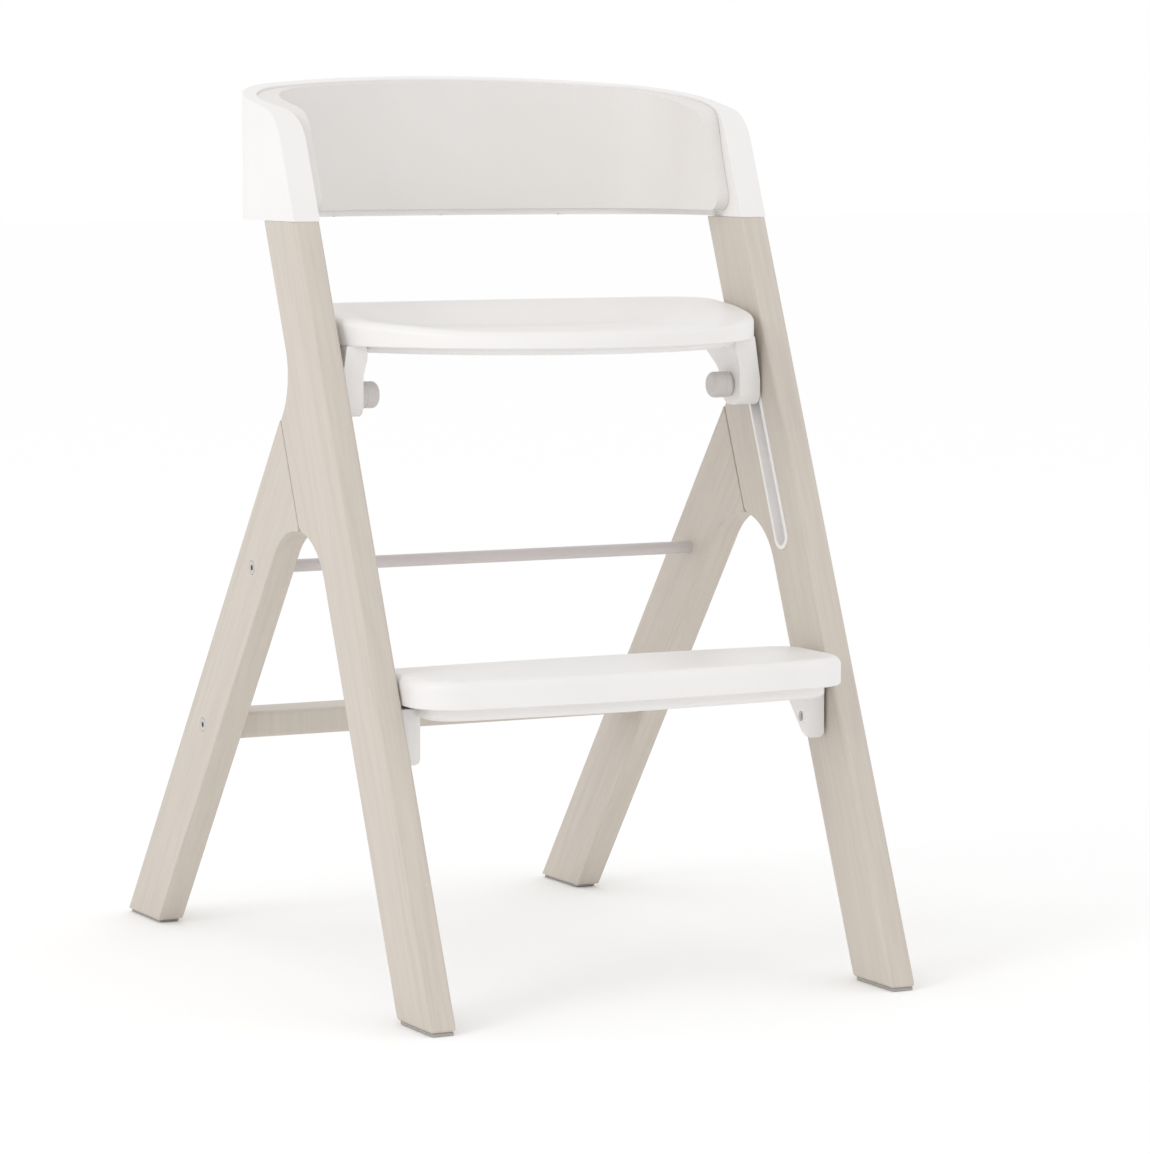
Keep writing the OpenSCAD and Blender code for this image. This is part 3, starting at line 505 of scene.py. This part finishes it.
# ---- Outlines of the plates and the backrest ----
def crown(hw, rc, tip, tip_r, corner_steps=14, tip_steps=40):
    """Half outline from (hw, y) to (-hw, y): two corners joined by a wide arc through (0, tip)."""
    low = tip - tip_r
    cy = low + math.sqrt((tip_r - rc) ** 2 - (hw - rc) ** 2)
    phi = math.degrees(math.atan2(cy - low, hw - rc))
    return (
        arc((hw - rc, cy), rc, 0, phi, corner_steps)[:-1]
        + arc((0, low), tip_r, phi, 180 - phi, tip_steps)[:-1]
        + arc((rc - hw, cy), rc, 180 - phi, 180, corner_steps)
    )


# ---- Backrest ----
def smooth(t):
    t = max(0.0, min(1.0, t))
    return t * t * (3 - 2 * t)


def side_profile(set_back, low, top, radius, foot_radius, rear):
    """Side view that follows the leg's front edge, rounded at its top (and bottom) corner.
    top is a pair: height at y = 0 and rise for each metre to the rear."""
    direction = Vector((1, top[1])).normalized()
    corner = meet(front_pt(set_back, 0), FRONT_UP, Vector((0, top[0])), direction)
    foot = meet(front_pt(set_back, 0), FRONT_UP, Vector((0, low)), Vector((1, 0)))
    start = [foot]
    if foot_radius:
        start = fillet(foot, Vector((1, 0)), FRONT_UP, foot_radius, 14)
    return (
        start
        + fillet(corner, -FRONT_UP, direction, radius, 28)
        + [Vector((rear, top[0] + top[1] * rear)), Vector((rear, low))]
    )


WALL = 0.0135
WING_END = -0.120
SHELL_CORNER_R, PANEL_CORNER_R, PANEL_FOOT_R = 0.050, 0.034, 0.013
PANEL_SET_BACK, PANEL_LOW = 0.0150, BACK_LOW + 0.006
WING_T = LEG_OUT - LEG_IN
THIN_FROM = 0.045
PANEL_STEP, PANEL_T = 0.013, 0.0055


def inner_plan(extra=0.0):
    """Inside of the shell: the wings are as thick as the legs in front, and thin out behind."""
    half, corner_r, rear = LEG_OUT - WALL - extra, WING_RC - WALL - extra, BACK_Y - WALL - extra
    ring = crown(half, corner_r, rear, BACK_R - WALL)
    start = ring[0].y
    wing = []
    steps = 12
    for i in range(steps + 1):
        t = i / steps
        y = -THIN_FROM + (start + THIN_FROM) * t
        wing.append(Vector((LEG_IN + (WING_T - WALL) * smooth(t) - extra, y)))
    wing = [Vector((LEG_IN - extra, -0.140))] + wing[:-1]
    return wing + ring + [Vector((-p.x, p.y)) for p in reversed(wing)]


def backrest_shell():
    outer = crown(LEG_OUT, WING_RC, BACK_Y, BACK_R)
    outer = [Vector((LEG_OUT, WING_END))] + outer + [Vector((-LEG_OUT, WING_END))]
    base = BACK_LOW - 0.012
    obj = prism("backrest_shell_visual", outer, base, BACK_LOW + 0.2, "z")
    cut(obj, prism("cutter", inner_plan(), base - 0.1, BACK_LOW + 0.3, "z"))
    view = side_profile(0, base, (BACK_TOP, BACK_RISE), SHELL_CORNER_R, 0, BACK_Y + 0.01)
    overlap(obj, prism("cutter", view, -0.3, 0.3))
    soften(obj, 0.0042, 4, 32)
    return cut(obj, slab(base - 0.1, BACK_LOW))


def backrest_panel():
    outer = inner_plan(0.0002)
    obj = prism("backrest_panel_visual", outer, BACK_LOW, BACK_LOW + 0.2, "z")
    half = LEG_IN - PANEL_STEP
    ring = crown(half, 0.070, BACK_Y - WALL - PANEL_T, BACK_R - WALL - PANEL_T)
    inner = [Vector((half, -0.16))] + ring + [Vector((-half, -0.16))]
    cut(obj, prism("cutter", inner, BACK_LOW - 0.1, BACK_LOW + 0.3, "z"))
    top = (BACK_TOP - 0.0020, BACK_RISE)
    view = side_profile(
        PANEL_SET_BACK, PANEL_LOW, top, PANEL_CORNER_R, PANEL_FOOT_R, BACK_Y + 0.01
    )
    overlap(obj, prism("cutter", view, -0.3, 0.3))
    return soften(obj, 0.0026, 3, 32)


# ---- Seat and footrest plates ----
def loft(name, rings):
    """Closed surface through rings of equally many points, bottom ring first."""
    n = len(rings[0])
    verts = [p for ring in rings for p in ring]
    faces = []
    for r in range(len(rings) - 1):
        for i in range(n):
            j = (i + 1) % n
            faces.append([r * n + i, r * n + j, (r + 1) * n + j, (r + 1) * n + i])
    for base in (0, (len(rings) - 1) * n):
        centre = sum((Vector(verts[base + i]) for i in range(n)), Vector()) / n
        verts.append(centre)
        faces += [[base + i, base + (i + 1) % n, len(verts) - 1] for i in range(n)]
    obj = add_mesh(name, verts, faces)
    tidy_normals(obj)
    return obj


def plate_outline(rear, rear_rc, front, front_rc, front_r, inset):
    """Plan of a plate, inset from its rim: nearly straight rear edge, crowned front edge."""
    hw = PLATE_HW - inset
    back = crown(hw, rear_rc - inset, rear - inset, 3.0 - inset, 12, 30)
    front_half = crown(hw, front_rc - inset, -front - inset, front_r - inset, 24, 64)
    return back + [Vector((-p.x, -p.y)) for p in front_half]


def shrunk(points, factor, centre):
    return [centre + (p - centre) * factor for p in points]


seat_low, seat_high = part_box("seat_top_shell")
cover_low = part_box("seat_under_cover")[0].z
SEAT_Z = seat_low.z
SEAT = (seat_high.y, 0.050, seat_low.y, 0.120, 0.225)
# Share of the plate's half size over which its rim falls to the sitting surface
RIM_SHARE = 0.36
SEAT_RINGS = (
    0.99, 0.975, 0.955, 0.93, 0.90, 0.865, 0.825, 0.78, 0.73, 0.68, 0.62, 0.54, 0.44, 0.3, 0.15,
)
# The rim's height along the seat, as (y, z)
RIM = (
    (-0.300, 0.6005), (-0.200, 0.6010), (-0.174, 0.6040), (-0.131, 0.6075), (-0.098, 0.6095),
    (-0.077, 0.6125), (-0.056, 0.6160), (-0.030, 0.6185), (0.000, 0.6195), (0.060, 0.6200),
)


def seat_rim(y):
    """Height of the seat's rim: low in front, raised beside and behind the child."""
    total = 0
    for shift in range(-3, 4):
        at = y + 0.006 * shift
        for (y0, z0), (y1, z1) in zip(RIM, RIM[1:]):
            if y0 <= at <= y1:
                total += z0 + (z1 - z0) * (at - y0) / (y1 - y0)
                break
    return total / 7 - 0.0003


def seat_floor(x, y):
    """Height of the sitting surface."""
    depth, half_width, flat = 0.0035, 0.20, 0.5995
    return flat - depth * math.cos(min(1, abs(x) / half_width) * math.pi / 2)


def seat_top():
    rings = []
    turn_r = 0.0065
    for inset, z in ((0.0012, 0.0), (0.0003, 0.0007), (0.0, 0.0020)):
        rings.append([(p.x, p.y, SEAT_Z + z) for p in plate_outline(*SEAT, inset)])
    for sideways, down in quarter_turn(8):
        ring = plate_outline(*SEAT, turn_r * sideways)
        rings.append([(p.x, p.y, seat_rim(p.y) - turn_r * down) for p in ring])
    edge = plate_outline(*SEAT, turn_r)
    centre = Vector((0, (SEAT[0] + SEAT[2]) / 2))
    for factor in SEAT_RINGS:
        blend = smooth((1 - factor) / RIM_SHARE)
        ring = shrunk(edge, factor, centre)
        rings.append(
            [
                (p.x, p.y, seat_rim(q.y) * (1 - blend) + seat_floor(p.x, p.y) * blend)
                for p, q in zip(ring, edge)
            ]
        )
    return loft("seat_top_visual", rings)


def under_cover(name, plate, z0, z1, inset, turn_r):
    rings = []
    for up, sideways in quarter_turn(6):
        ring = plate_outline(*plate, inset + turn_r * sideways)
        rings.append([(p.x, p.y, z0 + turn_r * up) for p in ring])
    rings.append([(p.x, p.y, z1) for p in plate_outline(*plate, inset)])
    return loft(name, rings)


step_low, step_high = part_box("footrest_top_shell")
step_cover_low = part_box("footrest_under_cover")[0].z
STEP_Z, STEP_TOP = step_low.z, step_high.z
STEP = (step_high.y, 0.032, step_low.y, 0.042, 1.875)


def step_top():
    rings = []
    turn_r = 0.0085
    for inset, z in ((0.0010, 0.0), (0.0002, 0.0008), (0.0, 0.0020)):
        rings.append([(p.x, p.y, STEP_Z + z) for p in plate_outline(*STEP, inset)])
    for sideways, down in quarter_turn(8):
        ring = plate_outline(*STEP, turn_r * sideways)
        rings.append([(p.x, p.y, STEP_TOP - turn_r * down) for p in ring])
    for inset, drop in ((0.012, 0.0001), (0.018, 0.0004), (0.025, 0.0008)):
        rings.append([(p.x, p.y, STEP_TOP - drop) for p in plate_outline(*STEP, inset)])
    inner = plate_outline(*STEP, 0.025)
    centre = Vector((0, (STEP[0] + STEP[2]) / 2))
    for factor in (0.8, 0.5, 0.2):
        rings.append([(p.x, p.y, STEP_TOP - 0.001) for p in shrunk(inner, factor, centre)])
    return loft("footrest_top_visual", rings)


# ---- Brackets, knobs, pads and the crossbar ----
def turned(name, profile, centre, steps=72):
    """Solid of revolution about an axis along X; profile is a list of (x, radius)."""
    turns = [2 * math.pi * i / steps for i in range(steps)]
    rings = [
        [(x, centre[0] + r * math.cos(t), centre[1] + r * math.sin(t)) for t in turns]
        for x, r in profile
    ]
    return loft(name, rings)


def seat_bracket(name):
    low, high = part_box("seat_bracket_right")
    face = 0.194
    view = rounded(
        [
            (low.y, high.z), (low.y, low.z), (-0.086, low.z), (-0.074, 0.532), (-0.072, 0.551),
            (-0.052, 0.571), (-0.046, 0.579), (-0.046, high.z),
        ],
        [0, 0.0115, 0.010, 0.008, 0.014, 0.010, 0.002, 0],
    )
    obj = prism(name, view, low.x, high.x)
    section = rounded(
        [
            (face, low.z - 0.01), (high.x, low.z - 0.01), (high.x, 0.545),
            (0.2100, high.z + 0.0005), (low.x, high.z + 0.0005), (low.x, 0.573), (face, 0.558),
        ],
        [0, 0, 0.020, 0, 0.004, 0.008, 0.006],
    )
    overlap(obj, prism("cutter", section, -0.3, 0.1, "y"))
    soften(obj, 0.0028, 4, 28)
    screw_low, screw_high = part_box("seat_bracket_screws")
    head_r = 0.0035
    for y in (screw_low.y + head_r, screw_high.y - head_r):
        recess = circle((screw_high.x - head_r, y), 0.0037)
        cut(obj, prism("cutter", recess, 0.540, screw_low.z + 0.0005, "z"))
    return obj


def step_bracket(name):
    low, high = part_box("footrest_bracket_right")
    inner, outer, top = 0.197, 0.215, 0.28
    view = rounded(
        [
            (-0.238, 0.270), (-0.238, low.z), (-0.233, low.z), (-0.204, 0.251),
            (-0.196, 0.2585), (-0.189, 0.270),
        ],
        [0, 0.002, 0.002, 0.012, 0.010, 0],
    )
    obj = prism(name, view, inner, outer)
    section = rounded(
        [(inner, top), (inner, low.z), (outer, low.z), (outer, top)], [0, 0.006, 0.006, 0]
    )
    overlap(obj, prism("cutter", section, -0.3, 0, "y"))
    soften(obj, 0.0024, 4, 28)
    screw_low, screw_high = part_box("footrest_leg_screws")
    at = ((screw_low.y + screw_high.y) / 2, (screw_low.z + screw_high.z) / 2)
    cut(obj, prism("cutter", circle(at, 0.0047), inner - 0.002, inner + 0.0031))
    return obj


def pull_knob(name):
    low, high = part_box("pull_knob_right")
    radius = (high.z - low.z) / 2
    groove = low.x + 0.0130
    nose_r, rear_r, axis_r = 0.0045, 0.0012, 0.0001
    profile = [(low.x, axis_r)]
    profile += [
        (low.x + nose_r * along, radius - nose_r * inward)
        for inward, along in reversed(quarter_turn(10))
    ]
    profile += [
        (groove - 0.0009, radius), (groove - 0.0005, radius - 0.0002), (groove, radius - 0.0005),
        (groove + 0.0005, radius - 0.0002), (groove + 0.0009, radius),
    ]
    profile += [
        (high.x - rear_r * along, radius - rear_r * inward) for inward, along in quarter_turn(6)
    ]
    profile += [(high.x, axis_r)]
    return turned(name, profile, ((low.y + high.y) / 2, (low.z + high.z) / 2))


def foot_pad(strip_low, strip_high, up):
    """Pad under a leg: the leg's cut section, a little smaller all round."""
    def build(name):
        outline = [
            meet(strip_low, up, Vector((0, 0)), Vector((1, 0))),
            meet(strip_high, up, Vector((0, 0)), Vector((1, 0))),
            meet(strip_high, up, Vector((0, PAD_T)), Vector((1, 0))),
            meet(strip_low, up, Vector((0, PAD_T)), Vector((1, 0))),
        ]
        obj = prism(name, outline, LEG_IN + 0.0025, LEG_OUT - 0.0025)
        return soften(obj, 0.0009, 3, 25)

    return build


def crossbar():
    low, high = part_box("rear_crossbar")
    section = rounded(
        [(low.y, low.z), (high.y, low.z), (high.y, high.z), (low.y, high.z)], [0.004] * 4, 8
    )
    obj = prism("crossbar_visual", section, low.x, high.x)
    nut_low, nut_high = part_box("crossbar_barrel_nuts")
    radius = (nut_high.y - nut_low.y) / 2
    for side in (-1, 1):
        at = (side * (nut_high.x - radius), (nut_low.y + nut_high.y) / 2)
        hole = circle(at, radius + 0.0002)
        cut(obj, prism("cutter", hole, low.z - 0.005, nut_high.z + 0.0002, "z"))
    return soften(obj, 0.0004, 2, 40)


# ---- Build ----
pair(front_leg, "front_leg", "front_frame", front_wood, "front_leg")
pair(rear_leg, "rear_leg", "rear_frame", rear_wood, "rear_leg")
pair(slot_liner, "slot_liner", "front_frame", white, "slot_liner")
finish_piece(backrest_shell(), "front_frame", white, "backrest_shell")
# The inner panel gets the darker copy of the white plastic, which is painted shade.
finish_piece(backrest_panel(), "front_frame", shaded_panel_white, "backrest_inner_panel")
finish_piece(seat_top(), "seat", white, "seat_top_shell")
finish_piece(
    under_cover("seat_cover_visual", SEAT, cover_low, SEAT_Z, 0.018, 0.004),
    "seat", white, "seat_under_cover",
)
finish_piece(step_top(), "front_frame", white, "footrest_top_shell")
finish_piece(
    under_cover("footrest_cover_visual", STEP, step_cover_low, STEP_Z, 0.015, 0.005),
    "front_frame", white, "footrest_under_cover",
)

pair(seat_bracket, "seat_bracket", "seat", white, "seat_bracket")
pair(step_bracket, "footrest_bracket", "front_frame", white, "footrest_bracket")
pair(pull_knob, "pull_knob", ("knob_left", "knob_right"), knob_tone, "pull_knob", angle=50)
pair(
    foot_pad(front_pt(0.0025, 0), front_pt(FRONT_DEPTH - 0.0025, 0), FRONT_UP),
    "front_foot_pad", "front_frame", rubber, "front_foot_pad",
)
pair(
    foot_pad(rear_pt(REAR_DEPTH - 0.0025, 0), rear_pt(0.0025, 0), REAR_UP),
    "rear_foot_pad", "rear_frame", rubber, "rear_foot_pad",
)
finish_piece(crossbar(), "rear_frame", bar_wood, "rear_crossbar")


# ---- Stage: pale floor and soft studio light ----
def area_light(name, place, target, size, power, colour=(1, 1, 1)):
    light = bpy.data.objects.new(name, bpy.data.lights.new(name, "AREA"))
    light.data.shape, light.data.size = "DISK", size
    light.data.energy, light.data.color = power, colour
    light.location = place
    light.rotation_euler = (Vector(target) - Vector(place)).to_track_quat("-Z", "Y").to_euler()
    bpy.context.scene.collection.objects.link(light)


REACH = 30
corners = [(-REACH, -REACH), (REACH, -REACH), (REACH, REACH), (-REACH, REACH)]
floor = prism("floor", corners, -0.02, -0.0002, "z")
floor_material, _, floor_shader = new_material("floor_paint", 0.9)
floor_shader.inputs["Base Color"].default_value = (0.99, 0.99, 0.99, 1)
floor_shader.inputs["Specular IOR Level"].default_value = 0.0
floor.data.materials.append(floor_material)

world = bpy.data.worlds.new("studio")
bpy.context.scene.world = world
world.use_nodes = True
world.node_tree.nodes["Background"].inputs["Color"].default_value = (1, 1, 1, 1)
world.node_tree.nodes["Background"].inputs["Strength"].default_value = 1.0
KEY_AT, KEY_TARGET, KEY_SIZE, KEY_POWER = (-3.4, -1.2, 2.2), (0, 0, 0.45), 1.6, 20
area_light("key", KEY_AT, KEY_TARGET, KEY_SIZE, KEY_POWER)
bpy.context.scene.view_settings.view_transform = "Standard"
